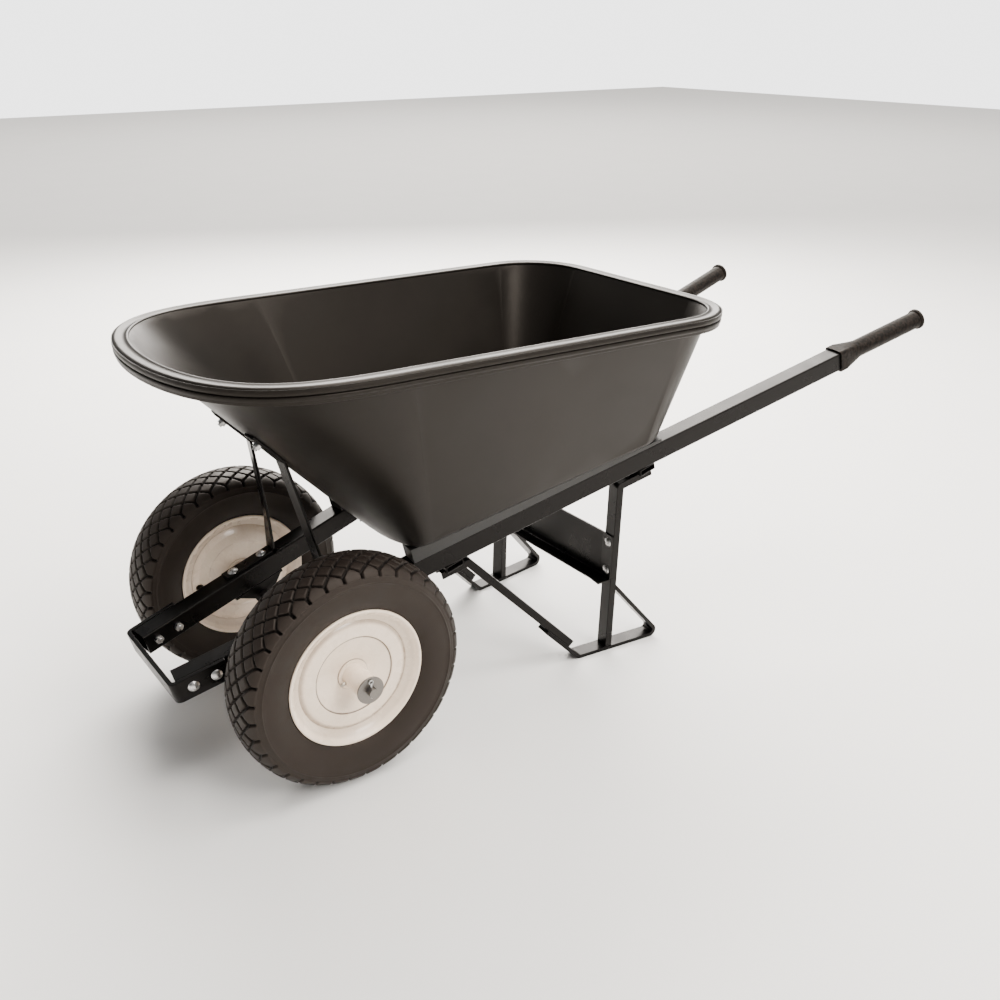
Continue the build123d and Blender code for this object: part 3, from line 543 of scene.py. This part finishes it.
def carved_tyre():
    """Mesh of a whole tyre about its own middle, with its axle along X."""
    count = tread_repeats * points_per_repeat
    turn = np.arange(count)[:, None] / points_per_repeat
    grooves, depth = tread_relief(turn, along[None, :])
    offset = section[None, :, 0] - outward[None, :, 0] * depth
    radius = section[None, :, 1] - outward[None, :, 1] * depth
    angle = turn / tread_repeats * 2 * math.pi
    points = np.stack([offset, radius * np.sin(angle), radius * np.cos(angle)], axis=2).reshape(-1, 3) * MM
    width = len(section)
    rings = [(i * width, (i + 1) % count * width) for i in range(count)]
    faces = [(here + j, here + j + 1, after + j + 1, after + j)
             for here, after in rings for j in range(width - 1)]
    mesh = bpy.data.meshes.new("carved_tyre")
    mesh.from_pydata(points.tolist(), [], faces)
    mesh.shade_smooth()
    # The groove depth, from 0 to 1, is kept on the mesh so that the material can paint shade into the grooves.
    groove_shade = mesh.attributes.new("groove", "FLOAT", "POINT")
    groove_shade.data.foreach_set("value", (grooves / groove_depth).ravel())
    mesh.materials.append(finishes["tyre_rubber"])
    return mesh


tyre_mesh = carved_tyre()
print("tyre faces", len(tyre_mesh.polygons))

# %% [markdown]
# Tyre, rim and disc all sit about the middle of their wheel and turn with it, so one function
# hangs any of them there and hides the CAD part it stands in for. Both tyres share one mesh.

# %% Hang the tyres on the wheels
def hang(name, mesh, side, centred_on, replaced):
    """A piece of a wheel, placed at the middle of a CAD node and riding on the wheel."""
    low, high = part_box(centred_on + "_" + side)
    piece = bpy.data.objects.new(name + "_" + side, mesh)
    piece.location = [(a + b) / 2 for a, b in zip(low, high)]
    bpy.context.scene.collection.objects.link(piece)
    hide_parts(replaced + "_" + side)
    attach(piece, "wheel_" + side)
    return piece


for side in ("right", "left"):
    tyre = hang("carved_tyre", tyre_mesh, side, "tyre", "tyre")
    print("tyre", side, "at", [round(v, 3) for v in tyre.location])

# %% [markdown]
# ## Rims
# A rim is rolled from steel strip: a round lip holds the tyre, and from it the strip sweeps in,
# in one hollow curve, to the seam with the disc. That hollow is what shades one side of the
# wheel, so the CAD rim's square channel gives way to a turned section with the real curve.

# %% Rolled rims
turned_steps = 160


def turned(name, profile, grime_and_shade):
    """Enamelled mesh of a section turned about X: offsets and radii in mm, and how much grime and painted shade
    each point gets.
    """
    ring = np.array(profile) * MM
    angle = 2 * math.pi * np.arange(turned_steps)[:, None] / turned_steps
    points = np.stack([np.broadcast_to(ring[:, 0], (turned_steps, len(ring))), ring[:, 1] * np.sin(angle),
                       ring[:, 1] * np.cos(angle)], axis=2)
    width = len(ring)
    rings = [(i * width, (i + 1) % turned_steps * width) for i in range(turned_steps)]
    faces = [(here + j, after + j, after + j + 1, here + j + 1)
             for here, after in rings for j in range(width - 1)]
    mesh = bpy.data.meshes.new(name)
    mesh.from_pydata(points.reshape(-1, 3).tolist(), [], faces)
    mesh.shade_smooth()
    mesh.materials.append(finishes["wheel_enamel"])
    mesh.attributes.new("grime_and_shade", "FLOAT", "POINT").data.foreach_set("value", grime_and_shade * turned_steps)
    return mesh


def round_off(piece, name):
    """One step of subdivision, which rounds the corners of a section."""
    rounding = piece.modifiers.new(name, "SUBSURF")
    rounding.levels = rounding.render_levels = 1


rim_half = [(36.4, 120.5), (37.2, 122.2), (39.4, 122.6), (40.8, 121.4), (40.7, 118.6), (39.0, 116.4),
            (35.4, 113.6), (31.6, 110.0), (28.6, 106.0), (26.8, 102.4), (25.7, 99.8), (24.4, 98.6),
            (18.0, 98.4), (0.0, 98.4)]
rim_profile = rim_half + [(-offset, radius) for offset, radius in reversed(rim_half[:-1])]
# Painted shade: the rim's hollow gets a little painted shade. The seam with the disc gets more, as grime and
# painted shade.
rim_grime_and_shade = [0.6 if radius < 99 else 0.22 if radius < 111 else 0.0 for _, radius in rim_profile]
rim_turned = turned("rolled_rim_of_wheel", rim_profile, rim_grime_and_shade)
for side in ("right", "left"):
    rim = hang("wheel_rim", rim_turned, side, "rim", "rim")
    round_off(rim, "smoothing")
print("rim section points", len(rim_profile))

# %% [markdown]
# ## Outer discs
# The disc is pressed from sheet. Seen from outside it is a shallow cone round the hub, then a
# crisp step of a millimetre and a half where the press swaged a stiffening ring, and a flat
# band that rolls in to the rim. The step is drawn with close points, so that it stays crisp.

# %% Pressed discs
disc_profile = [(24.3, 99.0), (26.4, 96.2), (28.6, 91.0), (29.4, 86.0), (29.6, 78.0), (29.6, 73.0),
                (29.5, 71.6), (28.9, 70.8), (28.0, 70.4), (27.5, 69.6), (27.2, 68.0), (26.6, 63.0),
                (24.2, 46.0), (22.0, 33.0), (21.4, 28.5), (21.3, 26.0)]
# Painted shade: the swaged step and the hub's base are painted fully dark, and the outer roll half as dark, as
# grime and painted shade.
disc_grime_and_shade = [1.0 if 69 < radius < 70.6 or radius < 27 else 0.5 if radius > 95 else 0.0
             for _, radius in disc_profile]
for side, face in (("right", 1), ("left", -1)):
    facing = [(face * offset, radius) for offset, radius in disc_profile]
    pressed = turned("pressed_disc_" + side, facing, disc_grime_and_shade)
    disc = hang("wheel_disc", pressed, side, "rim", "disc_outer")
    round_off(disc, "smoothing")
print("disc section points", len(disc_profile))

# %% [markdown]
# ## Floor
# The barrow stands on a plain pale floor. It is wide enough that its far edge lies near the
# horizon, where it still shows as a faint line against the paler surround.

# %% Floor
def studio_floor():
    material, tree = start_material("painted_studio_floor")
    place = add(tree, "ShaderNodeTexCoord").outputs["Object"]
    scuffs = add(tree, "ShaderNodeTexNoise", {"Scale": 3.0, "Detail": 4.0}, {"Vector": place})
    shade = add(tree, "ShaderNodeMix",
                {"data_type": "RGBA", COLOUR_A: linear("#f1f0ee"), COLOUR_B: linear("#f6f5f3")},
                {SHARE: scuffs.outputs["Fac"]})
    end_material(tree, {"Roughness": 0.85, "Specular IOR Level": 0.2}, {"Base Color": shade.outputs[MIXED]})
    return material


half_floor = 14.0
floor_mesh = bpy.data.meshes.new("floor")
floor_mesh.from_pydata([(-half_floor, -half_floor, 0), (half_floor, -half_floor, 0),
                        (half_floor, half_floor, 0), (-half_floor, half_floor, 0)], [], [(0, 1, 2, 3)])
floor_mesh.materials.append(studio_floor())
floor = bpy.data.objects.new("floor", floor_mesh)
bpy.context.scene.collection.objects.link(floor)
print("floor", 2 * half_floor, "m across")

# %% [markdown]
# ## Light
# The light is a soft box overhead, a broad one behind, which the rails' tops mirror, one on the
# camera's side for the wheels, and one high over the floor behind, so that the floor greys less
# with distance. A soft sun and a pale surround fill the shadows.

# %% Light
warm_white = (1.0, 0.955, 0.9)


def soft_box(name, place, aim, size, watts):
    """A square soft light that faces a point."""
    data = bpy.data.lights.new(name, "AREA")
    data.shape = "SQUARE"
    data.size = size
    data.energy = watts
    data.color = warm_white
    box = bpy.data.objects.new(name, data)
    box.location = place
    direction = [a - p for a, p in zip(aim, place)]
    box.rotation_euler = Vector(direction).to_track_quat("-Z", "Y").to_euler()
    bpy.context.scene.collection.objects.link(box)
    return box


soft_box("overhead", (0.3, 0.9, 3.2), (0, 0, 0.3), 2.4, 120)
soft_box("front_side", (3.4, 0.4, 2.4), (0, -0.2, 0.3), 1.4, 110)
soft_box("rear", (-2.5, 1.4, 2.6), (0, 0.1, 0.4), 3.2, 520)
soft_box("backdrop", (-7.0, 5.5, 4.5), (-7.0, 5.5, 0), 9.0, 500)
sky_data = bpy.data.lights.new("sky", "SUN")
sky_data.energy = 2.7
sky_data.color = warm_white
sky_data.angle = math.radians(50)
sky = bpy.data.objects.new("sky", sky_data)
sky.rotation_euler = Vector((-0.6, -0.6, -1.3)).to_track_quat("-Z", "Y").to_euler()
bpy.context.scene.collection.objects.link(sky)
world = bpy.data.worlds.new("surround")
world.use_nodes = True
world.node_tree.nodes["Background"].inputs["Color"].default_value = linear("#fbfbfb")
sight = add(world.node_tree, "ShaderNodeLightPath")
strength = add(world.node_tree, "ShaderNodeMapRange", {"To Min": 0.36, "To Max": 3.5},
               {"Value": sight.outputs["Is Camera Ray"]})
world.node_tree.links.new(strength.outputs["Result"], world.node_tree.nodes["Background"].inputs["Strength"])
bpy.context.scene.world = world
